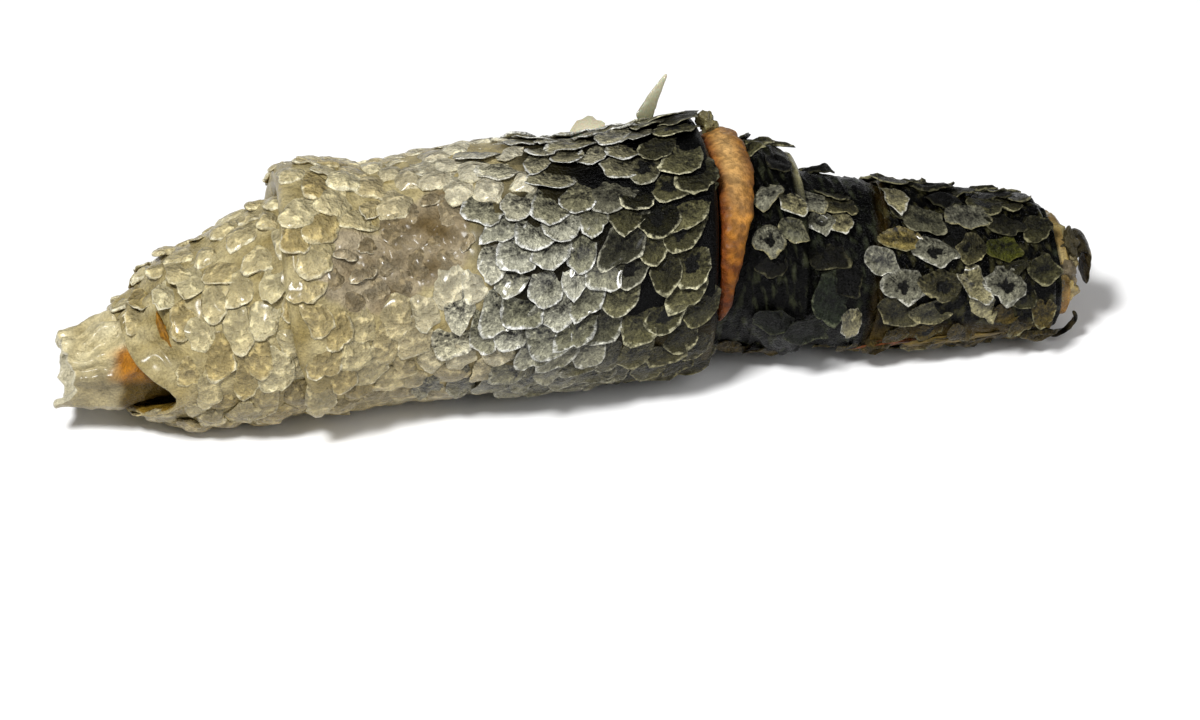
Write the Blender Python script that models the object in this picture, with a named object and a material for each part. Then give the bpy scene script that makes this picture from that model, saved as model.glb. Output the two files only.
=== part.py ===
"""Rolled dried fish skin: one long scaly skin wound round itself and dried hard into a tapered roll.

Metres, +Z up. The roll lies along X on the floor at Z = 0, its pale belly end at -X and its dark back end at +X.
The origin is under the middle of the bounding box. Angles round the roll start at the top and turn towards -Y.
"""
from math import cos, exp, radians, sin, tau

import bmesh
import bpy
from mathutils import Matrix, Vector

# Driving dimensions
GAP = 0.00035               # air between two layers that lie on each other
SKIN = 0.0009               # thickness of the dried skin where a single layer ends
ROUND = 0.0004              # rounding of a layer's free edge
EDGE_REACH = 0.0140         # how far in from a free edge its unevenness reaches
FLAT = 0.0003               # how far the round underside is pressed flat where the roll rests

CORE_START = -0.0700        # rim of the hollow inner tube at the belly end
CORE_END = 0.0672           # pale end of the inner tube at the back end
MOUTH_DEPTH = 0.0140
UNDER_START = -0.0605
UNDER_END = 0.0655
OUTER_START = -0.0381
OUTER_END = 0.0198
SHOULDER_END = 0.0310
TAIL_MIDDLE = 0.0412        # the tail wrap's slanted free edge lies about here
TAIL_SLANT = 0.0022
TAIL_END = 0.0643
TAIL_STEP = 0.0012          # how far the under wrap steps down beneath the tail wrap

# (place along the roll, sideways drift of the roll's middle)
DRIFT = ((-0.0720, 0.0000), (-0.0400, 0.0006), (-0.0290, 0.0018), (-0.0150, 0.0012), (-0.0040, -0.0002),
         (0.0080, 0.0000), (0.0210, 0.0006), (0.0270, 0.0000), (0.0330, -0.0011), (0.0500, -0.0040),
         (0.0640, -0.0058), (0.0720, -0.0068))
# (place along the roll, height of the inner layers' middle, radius of the under wrap)
UNDER = ((-0.0720, 0.0074, 0.0086), (-0.0660, 0.0092, 0.0086), (-0.0620, 0.0096, 0.0086),
         (-0.0590, 0.0105, 0.0096), (-0.0555, 0.0115, 0.0116), (-0.0500, 0.0117, 0.0119),
         (-0.0455, 0.0128, 0.0130), (-0.0405, 0.0139, 0.0140), (-0.0360, 0.0155, 0.0138),
         (-0.0260, 0.0162, 0.0132), (0.0000, 0.0168, 0.0136), (0.0160, 0.0161, 0.0130),
         (0.0230, 0.0145, 0.0124), (0.0285, 0.0133, 0.0119), (0.0315, 0.0127, 0.0119),
         (0.0345, 0.0119, 0.0120), (0.0400, 0.0114, 0.0116), (0.0500, 0.0107, 0.0109),
         (0.0560, 0.0102, 0.0104), (0.0600, 0.0098, 0.0100), (0.0645, 0.0094, 0.0096),
         (0.0720, 0.0088, 0.0088))
# (place along the roll, radius of the innermost tube)
CORE = ((-0.0720, 0.0055), (-0.0690, 0.0060), (-0.0655, 0.0073), (-0.0600, 0.0070), (-0.0400, 0.0074),
        (0.0400, 0.0072), (0.0600, 0.0070), (0.0680, 0.0073), (0.0720, 0.0073))
# (place along the roll, radius of the outer wrap)
OUTER = ((-0.0400, 0.0168), (-0.0330, 0.0170), (-0.0250, 0.0161), (-0.0190, 0.0164), (-0.0055, 0.0170),
         (0.0010, 0.0166), (0.0080, 0.0168), (0.0180, 0.0167), (0.0215, 0.0169))
# (place along the roll, radius of the shoulder band, how far its middle lies above the inner layers')
SHOULDER = ((0.0205, 0.0137, 0.0002), (0.0252, 0.0137, 0.0002), (0.0268, 0.0144, 0.0008),
            (0.0300, 0.0143, 0.0008), (0.0320, 0.0136, 0.0008))

AROUND = 30                 # points round a layer
AROUND_CORE = 24


def along(table, x, column=1):
    """Value of a table's column at x, on a smooth curve through its rows."""
    rows = [row for row in table if row[0] <= x]
    left = min(max(len(rows) - 1, 0), len(table) - 2)
    before = table[max(left - 1, 0)]
    start = table[left]
    end = table[left + 1]
    after = table[min(left + 2, len(table) - 1)]
    span = end[0] - start[0]
    t = min(max((x - start[0]) / span, 0.0), 1.0)
    slope_start = (end[column] - before[column]) / (end[0] - before[0]) * span
    slope_end = (after[column] - start[column]) / (after[0] - start[0]) * span
    return ((2 * t**3 - 3 * t**2 + 1) * start[column] + (t**3 - 2 * t**2 + t) * slope_start
            + (3 * t**2 - 2 * t**3) * end[column] + (t**3 - t**2) * slope_end)


def crinkle(x, angle, size):
    """Shallow dents and swellings of a dried skin, up to about size."""
    return size * (0.5 * sin(2 * angle + 95 * x + 0.6) + 0.35 * sin(3 * angle - 160 * x + 2.1)
                   + 0.25 * sin(5 * angle + 230 * x))


def place(x, angle, radius, height, floor=0.0):
    """The point at an angle round the roll's middle, kept above the floor."""
    y = along(DRIFT, x) - radius * sin(angle)
    z = height + radius * cos(angle)
    return Vector((x, y, max(z, floor)))


def tail_seam(angle):
    """Where the tail wrap's free edge lies at an angle: further along the roll on top than below."""
    return TAIL_MIDDLE + TAIL_SLANT * cos(angle + radians(40))


def outer_end(angle):
    """Where the outer wrap ends beside the flesh strip: also further along on top than below."""
    return OUTER_END + 0.0014 * cos(angle + radians(40)) + 0.0002 * sin(4 * angle)


def under_point(x, angle, grow=0.0):
    """A point of the under wrap's surface, or the same surface grown outwards."""
    share = min(max((x - tail_seam(angle)) / 0.0004 + 1.5, 0.0), 1.0)
    radius = along(UNDER, x, 2) + crinkle(x, angle, 0.00025) - TAIL_STEP * share + grow
    return place(x, angle, radius, along(UNDER, x))


def core_point(x, angle, grow=0.0):
    """A point of the inner tube's surface, or the same surface grown outwards."""
    radius = along(CORE, x) + crinkle(x, angle + 2, 0.00025) + grow
    return place(x, angle, radius, along(UNDER, x))


def outer_point(x, angle, grow=0.0):
    """A point of the outer wrap's surface; it lies on the floor."""
    radius = along(OUTER, x) + crinkle(x, angle, 0.0003) + grow
    return place(x, angle, radius, along(OUTER, x) - FLAT)


def shoulder_point(x, angle, grow=0.0):
    """A point of the shoulder band: proud of the layer under it on top, close to it below."""
    radius = along(SHOULDER, x) + crinkle(x, angle, 0.0002) + grow
    return place(x, angle, radius, along(UNDER, x) + along(SHOULDER, x, 2), 0.0001)


def tail_point(x, angle, grow=0.0):
    """A point of the tail wrap's surface, level with the under wrap before it; it lies on the floor."""
    radius = along(UNDER, x, 2) + crinkle(x, angle, 0.00025) + grow
    return place(x, angle, radius, along(UNDER, x))


def steps(start, end, count):
    """Evenly spaced places from start to end, both included."""
    return [start + (end - start) * k / (count - 1) for k in range(count)]


def loft(name, rings, closed_tube):
    """One closed solid through rings of points: a tube wall, or a body whose end rings run to a point."""
    mesh = bpy.data.meshes.new(name)
    bm = bmesh.new()
    loops = [[bm.verts.new(point) for point in ring] for ring in rings]
    pairs = list(zip(loops, loops[1:]))
    if closed_tube:
        pairs.append((loops[-1], loops[0]))
    for near, far in pairs:
        for k in range(len(near)):
            n = (k + 1) % len(near)
            bm.faces.new((near[k], near[n], far[n], far[k]))
    if not closed_tube:
        for loop in (loops[0], loops[-1]):
            middle = sum((vert.co for vert in loop), Vector()) / len(loop)
            for vert in loop:
                vert.co = middle
    bmesh.ops.remove_doubles(bm, verts=bm.verts, dist=1e-7)
    if bm.calc_volume(signed=True) < 0:
        bmesh.ops.reverse_faces(bm, faces=bm.faces)
    bm.to_mesh(mesh)
    bm.free()
    return finish(name, mesh)


def finish(name, mesh):
    """Put a mesh in the part's collection as a smooth object."""
    mesh.shade_smooth()
    mesh.set_sharp_from_angle(angle=radians(50))
    obj = bpy.data.objects.new(name, mesh)
    part.objects.link(obj)
    return obj


def paint(obj, color, roughness):
    """Give an object its own plain material."""
    material = bpy.data.materials.new(obj.name)
    material.use_nodes = True
    shader = material.node_tree.nodes["Principled BSDF"]
    shader.inputs["Base Color"].default_value = (*color, 1)
    shader.inputs["Roughness"].default_value = roughness
    shader.inputs["Metallic"].default_value = 0.0
    obj.data.materials.append(material)


def wrap(name, outside, inside, places, inner_places, shear=None, flare=0.0):
    """A tube of wound skin: rings at places on its outer and inner surface, which shear sets at a slant."""
    angles = [tau * k / AROUND for k in range(AROUND)]
    shear = shear or (lambda x, angle: x)
    start = places[0]
    end = places[-1]
    rings = []
    for x in [start, start + ROUND] + places[1:-1] + [end - ROUND, end]:
        sink = -ROUND if x in (start, end) else 0.0
        rings.append([outside(shear(x, a), a, sink) for a in angles])
    for x in reversed(inner_places):
        share = max(1 - (x - start) / EDGE_REACH, 0.0)
        rings.append([inside(shear(x, a), a, GAP + flare * share**2) for a in angles])
    return loft(name, rings, True)


# The part's own collection, in an empty scene
for obj in list(bpy.data.objects):
    bpy.data.objects.remove(obj, do_unlink=True)
part = bpy.data.collections.new("rolled_dried_fish_skin")
bpy.context.scene.collection.children.link(part)


def make_inner_roll():
    """The innermost tube: it runs through the whole roll and is open at the belly end."""
    angles = [tau * k / AROUND_CORE for k in range(AROUND_CORE)]

    def rim(angle):
        lip = 0.0006 - 0.0016 * exp(-((angle - radians(112)) / 0.5)**2) + 0.0002 * sin(6 * angle)
        return lip + 0.0014 * exp(-((angle - radians(55)) / 0.4)**2)

    rings = []
    for x in steps(CORE_START, CORE_START + 0.026, 11):
        share = max(1 - (x - CORE_START) / 0.008, 0.0)
        rings.append([core_point(x + rim(a) * share, a) for a in angles])
    for x in steps(CORE_START + 0.031, CORE_END - 0.004, 15):
        rings.append([core_point(x, a) for a in angles])
    for x, sink in ((CORE_END - 0.0005, 0.0), (CORE_END, -ROUND), (CORE_END - 0.0008, -0.004)):
        rings.append([core_point(x, a, sink) for a in angles])
    rings.append([core_point(CORE_END - 0.001, a, -0.006) for a in angles])
    hollow = []
    for x in steps(CORE_START, CORE_START + MOUTH_DEPTH, 6):
        depth = (x - CORE_START) / MOUTH_DEPTH
        share = max(1 - depth * 2, 0.0)
        hollow.append([core_point(x + rim(a) * share, a, -SKIN - 0.0028 * depth**2) for a in angles])
    hollow.append([core_point(CORE_START + MOUTH_DEPTH + 0.0006, a, -0.006) for a in angles])
    paint(loft("inner_roll", hollow[::-1] + rings, False), (0.62, 0.53, 0.34), 0.35)


def fade(x, start):
    """One at a free edge, falling to nothing a little way in from it."""
    return max(1 - abs(x - start) / EDGE_REACH, 0.0)


def make_under_wrap():
    """The next layer: cream skin at the belly end, black skin past the flesh strip, and inside the rest."""
    def shear(x, angle):
        notch = 0.0042 * exp(-((angle - radians(97)) / 0.45)**2) + 0.0005 * sin(3 * angle + 1)
        slant = tail_seam(angle) - TAIL_MIDDLE
        return x + notch * fade(x, UNDER_START) + slant * fade(x, TAIL_MIDDLE)

    places = steps(UNDER_START, OUTER_START, 12) + steps(OUTER_START + 0.004, SHOULDER_END, 11)
    places += steps(SHOULDER_END + 0.002, TAIL_MIDDLE - 0.0007, 4)
    places += steps(TAIL_MIDDLE - 0.0002, UNDER_END, 7)
    inner_places = steps(UNDER_START, UNDER_START + 0.016, 6) + steps(UNDER_START + 0.021, UNDER_END, 14)
    obj = wrap("under_wrap", under_point, core_point, places, inner_places, shear, 0.0006)
    paint(obj, (0.50, 0.43, 0.28), 0.35)


def make_outer_wrap():
    """The widest layer, round the roll's middle; its free edges wander a little."""
    def shear(x, angle):
        slant = 0.0009 * cos(2 * angle + radians(80)) + 0.0010 * exp(-((angle - radians(112)) / 0.5)**2)
        return x + slant * fade(x, OUTER_START) + (outer_end(angle) - OUTER_END) * fade(x, OUTER_END)

    places = steps(OUTER_START, OUTER_END, 19)
    inner_places = steps(OUTER_START, OUTER_END, 11)
    paint(wrap("outer_wrap", outer_point, under_point, places, inner_places, shear), (0.24, 0.22, 0.16), 0.35)


def make_shoulder_band():
    """A short band of black skin under and beside the flesh strip; it stands proud on top."""
    start = OUTER_END + GAP

    def shear(x, angle):
        slant = 0.0018 * cos(angle + radians(40))
        return x + (outer_end(angle) - OUTER_END) * fade(x, start) + slant * fade(x, SHOULDER_END) * 0.7

    places = steps(start, SHOULDER_END, 8)
    inner_places = steps(start, SHOULDER_END, 5)
    obj = wrap("shoulder_band", shoulder_point, under_point, places, inner_places, shear)
    paint(obj, (0.035, 0.038, 0.025), 0.25)


def make_tail_wrap():
    """The last layer of black skin, round the thin end."""
    def shear(x, angle):
        return x + (tail_seam(angle) - TAIL_MIDDLE) * fade(x, TAIL_MIDDLE)

    places = steps(TAIL_MIDDLE, TAIL_END, 10)
    inner_places = steps(TAIL_MIDDLE, TAIL_END, 7)
    paint(wrap("tail_wrap", tail_point, under_point, places, inner_places, shear), (0.06, 0.065, 0.04), 0.3)


def bent_lens(name, path, half_width, half_thickness, along_count, round_count):
    """A closed blade along a path, which gives its middle and the directions of its width and thickness."""
    rings = []
    for i in range(along_count + 1):
        t = i / along_count
        middle, across, through = path(t)
        width = half_width(t)
        thick = half_thickness(t)
        ring = []
        for k in range(round_count):
            a = tau * k / round_count
            ring.append(middle + across * width * cos(a) + through * thick * sin(a))
        rings.append(ring)
    return loft(name, rings, False)


def make_flesh_strip():
    """A crescent of dried amber flesh beside the outer wrap: wide on top, a point low at the front."""
    first = radians(-110)
    last = radians(101)

    def width(t):
        return 0.0027 * min(t / 0.3, 1)**0.5 * min((1 - t) / 0.4, 1)**0.75

    def thickness(t):
        return 0.0012 * (4 * t * (1 - t))**0.3

    def path(t):
        angle = first + (last - first) * t
        x = outer_end(angle) + GAP + width(t)
        base = shoulder_point(x, angle)
        middle = shoulder_point(x, angle, GAP + 0.0001 + thickness(t))
        return middle, Vector((1, 0, 0)), (middle - base).normalized()

    obj = bent_lens("flesh_strip", path, width, thickness, 24, 10)
    paint(obj, (0.48, 0.22, 0.07), 0.4)


def make_end_curl():
    """A narrow flap of skin at the dark end, curled over on itself."""
    y = along(DRIFT, CORE_END)

    def path(t):
        turn = radians(200) * min(t / 0.55, 1)
        drop = 0.0052 * max(t - 0.55, 0) / 0.45
        middle = Vector((CORE_END + 0.0018 - 0.0011 * cos(turn), y - 0.0026,
                         0.0139 + 0.0014 * sin(turn) - drop))
        through = Vector((-cos(turn), 0, sin(turn)))
        if t > 0.55:
            through = Vector((0.94, 0, -0.34))
        return middle, Vector((0, 1, 0)), through

    obj = bent_lens("end_curl", path, lambda t: 0.0030 * (4 * t * (1 - t))**0.25,
                    lambda t: 0.00045 * (4 * t * (1 - t))**0.3, 20, 8)
    paint(obj, (0.05, 0.05, 0.035), 0.4)


def make_end_hook():
    """A small hooked sliver of black skin under the dark end."""
    corners = [Vector((0.0677, -0.0122, 0.0058)), Vector((0.0692, -0.0120, 0.0048)),
               Vector((0.0680, -0.0116, 0.0018)), Vector((0.0650, -0.0112, 0.0010))]

    def bezier(t):
        weights = ((1 - t)**3, 3 * t * (1 - t)**2, 3 * t**2 * (1 - t), t**3)
        return sum((corner * weight for corner, weight in zip(corners, weights)), Vector())

    def path(t):
        ahead = bezier(t + 0.01) - bezier(t - 0.01)
        through = Vector((-ahead.z, 0, ahead.x)).normalized()
        return bezier(t), Vector((0, 1, 0)), through

    obj = bent_lens("end_hook", path, lambda t: 0.0007 * (4 * t * (1 - t))**0.5,
                    lambda t: 0.0003 * (4 * t * (1 - t))**0.5, 12, 6)
    paint(obj, (0.05, 0.045, 0.03), 0.4)


def make_fin_ray():
    """A pale pointed sliver of fin that stands up behind the top of the outer wrap."""
    x = 0.0123
    foot = outer_point(x, radians(-48), GAP)
    lean = Vector((0.0034, 0.0030, 0.0050))

    def path(t):
        middle = foot + lean * t + Vector((0.0008 * t * t, 0, 0.0006 * t))
        return middle, Vector((0.9, -0.15, -0.4)).normalized(), Vector((0.1, 0.85, -0.5)).normalized()

    obj = bent_lens("fin_ray", path, lambda t: 0.0014 * (1 - t)**0.8 * min(t * 10, 1),
                    lambda t: 0.0002 * (1 - t)**0.5 * min(t * 10, 1), 10, 6)
    paint(obj, (0.68, 0.66, 0.52), 0.3)


def centre_on_floor(objects):
    """Bring the origin under the middle of the whole roll's box."""
    points = [vert.co for obj in objects for vert in obj.data.vertices]
    middle = [(min(p[axis] for p in points) + max(p[axis] for p in points)) / 2 for axis in (0, 1)]
    for obj in objects:
        obj.data.transform(Matrix.Translation((-middle[0], -middle[1], 0)))


make_inner_roll()
make_under_wrap()
make_outer_wrap()
make_shoulder_band()
make_tail_wrap()
make_flesh_strip()
make_end_curl()
make_end_hook()
make_fin_ray()
centre_on_floor(list(part.objects))
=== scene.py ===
import random
from math import cos, exp, pi, radians, sin, tau

import bmesh
import bpy
import numpy as np
from mathutils import Matrix, Vector, noise
from mathutils.bvhtree import BVHTree


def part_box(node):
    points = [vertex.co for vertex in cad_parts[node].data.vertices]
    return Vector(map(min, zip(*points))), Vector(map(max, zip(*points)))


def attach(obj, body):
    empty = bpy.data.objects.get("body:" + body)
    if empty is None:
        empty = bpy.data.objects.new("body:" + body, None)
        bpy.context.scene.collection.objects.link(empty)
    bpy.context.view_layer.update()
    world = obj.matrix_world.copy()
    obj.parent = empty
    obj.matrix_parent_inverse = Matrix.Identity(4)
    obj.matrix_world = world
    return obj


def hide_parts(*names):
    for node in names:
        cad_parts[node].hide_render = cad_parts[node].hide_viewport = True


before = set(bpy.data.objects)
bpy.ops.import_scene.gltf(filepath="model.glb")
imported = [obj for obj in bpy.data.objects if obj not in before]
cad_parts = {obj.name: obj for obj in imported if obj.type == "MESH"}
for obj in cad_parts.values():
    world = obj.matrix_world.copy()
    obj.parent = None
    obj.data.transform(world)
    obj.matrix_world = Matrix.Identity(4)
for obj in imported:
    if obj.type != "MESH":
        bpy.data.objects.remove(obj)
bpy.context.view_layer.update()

# The inner tube: the first turns of the dried skin, rolled tight round a hollow. It is open at the belly
# end, where its thin wall is waxy and greyish, and pressed shut at the dark end, where the turns show in
# khaki and amber. Angles round the roll start on top and turn towards -Y, the near side.

MM = 0.001
SKIN = 0.9 * MM             # one layer of dried skin
CLEAR = 0.1 * MM            # nothing reaches lower than this over the table


def ink(red, green, blue):
    """A colour as a screen shows it, 0 to 255, in the linear values that materials use."""
    return tuple((level / 255)**2.2 for level in (red, green, blue))


def blend(first, second, share):
    """A colour or a number part of the way from first to second."""
    share = min(max(share, 0.0), 1.0)
    if isinstance(first, tuple):
        return tuple(a + (b - a) * share for a, b in zip(first, second))
    return first + (second - first) * share


def rise(low, high, value):
    """Nothing below low, one above high, and a smooth step between."""
    share = min(max((value - low) / (high - low), 0.0), 1.0)
    return share * share * (3 - 2 * share)


def hump(value, middle, width):
    """One at the middle, falling off smoothly to either side."""
    return exp(-((value - middle) / width)**2)


def turn_from(angle, side):
    """How far a direction is turned from a side of the roll, which is given in degrees."""
    return abs((angle - radians(side) + pi) % tau - pi)


def facing(angle, side, width):
    """One at a side of the roll, falling off smoothly round it."""
    return hump(turn_from(angle, side), 0, width)


def away(angle, side, near, far):
    """Nothing within near of a side of the roll and one past far, all in degrees, or the reverse."""
    return rise(radians(near), radians(far), turn_from(angle, side))


def signed(angle):
    """The angle from the top, growing down the near side and negative behind."""
    return (angle + pi) % tau - pi


def lumps(point, size, seed=0.0, octaves=1):
    """Smooth noise about -0.5 to 0.5 at a point, with lumps about as large as size."""
    spot = Vector(point) / size + Vector((seed, seed * 1.7, -seed))
    value = noise.noise(spot)
    for octave in range(1, octaves):
        value += noise.noise(spot * 2**octave) / 2**octave
    return value * 0.7


def ripples(x, angle, radius, size, seed, octaves=1):
    """The same noise over a layer laid out flat; its radius and the lumps' size are in millimetres."""
    return lumps((x, radius * MM * angle, 0), size * MM, seed, octaves)


core = np.array([vert.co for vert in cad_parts["inner_roll"].data.vertices])
axis_places = np.linspace(core[:, 0].min() + 3 * MM, core[:, 0].max() - 3 * MM, 40)
axis_points = []
for place in axis_places:
    near = core[np.abs(core[:, 0] - place) < 6 * MM]
    axis_points.append((near[:, 1:].min(0) + near[:, 1:].max(0)) / 2)
axis_lines = np.array(axis_points).T


def middle(x):
    """The roll's middle at a place along it, as y and z."""
    return [float(np.interp(x, axis_places, line)) for line in axis_lines]


class Layer:
    """One wound layer of the frame: its two free edges and its outer surface, found with rays."""

    AROUND = 90
    PLACES = 70
    FIRST = 0.03            # the first and the last ring lie this share of the length inside the edges
    SPAN = 0.94
    OUTSIDE = 0.04          # rays start this far from the middle, in metres

    def __init__(self, node):
        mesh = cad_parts[node].data
        self.tree = BVHTree.FromPolygons([vert.co for vert in mesh.vertices],
                                         [face.vertices[:] for face in mesh.polygons])
        low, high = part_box(node)
        angles = [tau * k / self.AROUND for k in range(self.AROUND)]
        centre = (low.x + high.x) / 2
        self.starts = [self.edge(centre, low.x - MM, a) for a in angles]
        self.ends = [self.edge(centre, high.x + MM, a) for a in angles]
        rows = []
        for i in range(self.PLACES):
            share = self.FIRST + self.SPAN * i / (self.PLACES - 1)
            rows.append([self.probe(s + (e - s) * share, a) or self.probe(centre, a)
                         for s, e, a in zip(self.starts, self.ends, angles)])
        radii = np.array(rows)
        for _ in range(3):
            radii = (np.roll(radii, 1, 1) + radii + np.roll(radii, -1, 1)) / 3
        self.radii = radii.tolist()
        self.relief = lambda x, angle: 0.0    # how far the real skin stands off this smooth surface

    def probe(self, x, angle):
        """How far the outer surface lies from the roll's middle."""
        foot = Vector((x, *middle(x)))
        way = Vector((0, -sin(angle), cos(angle)))
        found = self.tree.ray_cast(foot + way * self.OUTSIDE, -way, self.OUTSIDE)[0]
        return (found - foot).length if found else None

    def edge(self, inside, outside, angle):
        """Where the layer ends between a place inside it and a place outside it."""
        for _ in range(14):
            between = (inside + outside) / 2
            if self.probe(between, angle):
                inside = between
            else:
                outside = between
        return inside

    def around(self, values, angle):
        """A value of a list that goes once round the roll."""
        spot = (angle / tau % 1) * self.AROUND
        k = int(spot) % self.AROUND
        return values[k] + (values[(k + 1) % self.AROUND] - values[k]) * (spot - int(spot))

    def start(self, angle):
        return self.around(self.starts, angle)

    def end(self, angle):
        return self.around(self.ends, angle)

    def radius(self, x, angle):
        """The surface's distance from the middle at a place and an angle."""
        share = (x - self.start(angle)) / (self.end(angle) - self.start(angle))
        spot = min(max((share - self.FIRST) / self.SPAN, 0.0), 0.9999) * (self.PLACES - 1)
        k = int(spot)
        near = self.around(self.radii[k], angle)
        return near + (self.around(self.radii[k + 1], angle) - near) * (spot - k)

    def surface(self, x, angle):
        return self.radius(x, angle) + self.relief(x, angle)


def on_ray(x, angle, radius):
    """The point at a distance from the roll's middle, kept above what the roll lies on."""
    y, z = middle(x)
    return Vector((x, y - radius * sin(angle), max(z + radius * cos(angle), CLEAR)))


class Wall:
    """Rings of points and colours along a layer: place gives x by angle, and radius goes by x and angle."""

    def __init__(self, count, tint):
        self.turns = [tau * k / count for k in range(count)]
        self.tint = tint
        self.rings = []
        self.tints = []

    def ring(self, place, radius, inside=False):
        spots = [(place(a), a) for a in self.turns]
        self.rings.append([on_ray(x, a, radius(x, a)) for x, a in spots])
        self.tints.append([self.tint(x, a, inside) for x, a in spots])


def skin_mesh(name, wall, loop):
    """A closed mesh through a wall's rings: a tube's wall if they loop, or else a shut body."""
    count = len(wall.turns)
    last = len(wall.rings) - 1
    points = [point for ring in wall.rings for point in ring]
    colours = [colour for ring in wall.tints for colour in ring]
    pairs = [(i, i + 1) for i in range(last)]
    faces = []
    if loop:
        pairs.append((last, 0))
    else:
        for i in (0, last):
            pole = len(points)
            points.append(sum(wall.rings[i], Vector()) / count)
            colours.append(wall.tints[i][0])
            for k in range(count):
                spoke = (i * count + k, i * count + (k + 1) % count)
                faces.append((*(spoke if i else spoke[::-1]), pole))
    for near, far in pairs:
        for k in range(count):
            n = (k + 1) % count
            faces.append((near * count + k, near * count + n, far * count + n, far * count + k))
    mesh = bpy.data.meshes.new(name)
    mesh.from_pydata(points, [], faces)
    return painted(outward(mesh), colours)


def painted(mesh, colours):
    """Store a colour at every point of a mesh."""
    paint = mesh.attributes.new("tint", "FLOAT_COLOR", "POINT")
    paint.data.foreach_set("color", [level for colour in colours for level in (*colour, 1.0)])
    return mesh


def outward(mesh):
    """Turn a closed mesh's faces so that they all point out, and shade it smooth."""
    work = bmesh.new()
    work.from_mesh(mesh)
    if work.calc_volume(signed=True) < 0:
        bmesh.ops.reverse_faces(work, faces=work.faces)
    work.to_mesh(mesh)
    work.free()
    mesh.shade_smooth()
    return mesh


def placed(name, data):
    """A new object of the scene, at the origin."""
    thing = bpy.data.objects.new(name, data)
    bpy.context.scene.collection.objects.link(thing)
    return thing


def show(name, mesh, look):
    """Put a finished mesh in the scene as a piece, with its finish."""
    mesh.materials.clear()
    mesh.materials.append(look.material)
    return placed(name, mesh)


class Number:
    """A number in a node tree; sums and products of it add Math nodes."""

    def __init__(self, graph, socket):
        self.graph = graph
        self.socket = socket

    def maths(self, operation, *terms):
        return self.graph.number("ShaderNodeMath", {"operation": operation}, dict(enumerate(terms)))

    def __add__(self, other):
        return self.maths("ADD", self, other)

    def __sub__(self, other):
        return self.maths("SUBTRACT", self, other)

    def __rsub__(self, other):
        return self.maths("SUBTRACT", other, self)

    def __mul__(self, other):
        return self.maths("MULTIPLY", self, other)

    __radd__ = __add__
    __rmul__ = __mul__


class Graph:
    """A node tree written as code."""

    def __init__(self, tree):
        self.tree = tree

    def node(self, kind, settings=None, sockets=None):
        """Any node: its type, its settings, then the values or links of its sockets."""
        node = self.tree.nodes.new(kind)
        for key, value in (settings or {}).items():
            setattr(node, key, value)
        for key, value in (sockets or {}).items():
            value = getattr(value, "socket", value)
            if isinstance(value, bpy.types.NodeSocket):
                self.tree.links.new(value, node.inputs[key])
            else:
                node.inputs[key].default_value = value
        return node

    def number(self, kind, settings=None, sockets=None, output=0):
        return Number(self, self.node(kind, settings, sockets).outputs[output])

    def step(self, low, high, value):
        """Nothing below low, one above high, and a smooth step between."""
        return self.number("ShaderNodeMapRange", {"interpolation_type": "SMOOTHSTEP"},
                           {"Value": value, "From Min": low, "From Max": high})

    def scaled(self, colour, factor):
        """A colour or vector made brighter or larger by a number."""
        return self.node("ShaderNodeVectorMath", {"operation": "SCALE"},
                         {0: colour, "Scale": factor}).outputs[0]

    def vector(self, operation, *terms):
        node = self.node("ShaderNodeVectorMath", {"operation": operation}, dict(enumerate(terms)))
        return node.outputs[0]

    def length(self, vector):
        return self.number("ShaderNodeVectorMath", {"operation": "LENGTH"}, {0: vector}, "Value")

    def brightness(self, colour):
        return self.number("ShaderNodeRGBToBW", {}, {0: colour})

    def mixed(self, first, second, share):
        """One colour turning into another as share goes from nothing to one."""
        return self.node("ShaderNodeMix", {"data_type": "RGBA"}, {0: share, 6: first, 7: second}).outputs[2]

    def grain(self, place, size, detail=2.0, stretch=(1, 1, 1)):
        """Noise from nothing to one with grains of about a size, stretched along the axes."""
        spot = self.node("ShaderNodeMapping", {}, {"Vector": place, "Scale": stretch}).outputs[0]
        return self.number("ShaderNodeTexNoise", {}, {"Vector": spot, "Scale": 1 / size, "Detail": detail})


class Look(Graph):
    """A finish: a material that starts with constants on its shader's own sockets."""

    def __init__(self, name, constants):
        self.material = bpy.data.materials.new(name)
        self.material.use_nodes = True
        super().__init__(self.material.node_tree)
        self.shader = self.tree.nodes["Principled BSDF"]
        for key, value in constants.items():
            self.shader.inputs[key].default_value = value
        self.place = self.node("ShaderNodeTexCoord").outputs["Object"]

    def attribute(self, name, output):
        return self.node("ShaderNodeAttribute", {"attribute_name": name}).outputs[output]

    def feed(self, key, value):
        self.tree.links.new(getattr(value, "socket", value), self.shader.inputs[key])

    def emboss(self, height, depth):
        """Raise the surface by a height from nothing to one, as deep as depth."""
        bump = self.node("ShaderNodeBump", {}, {"Height": height, "Distance": depth, "Strength": 1.0})
        self.feed("Normal", bump.outputs[0])


# how far light spreads in skin and scales, in metres and by colour
SPREAD = {"Subsurface Scale": 1.0 * MM, "Subsurface Radius": (1.0, 0.85, 0.65)}


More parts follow.
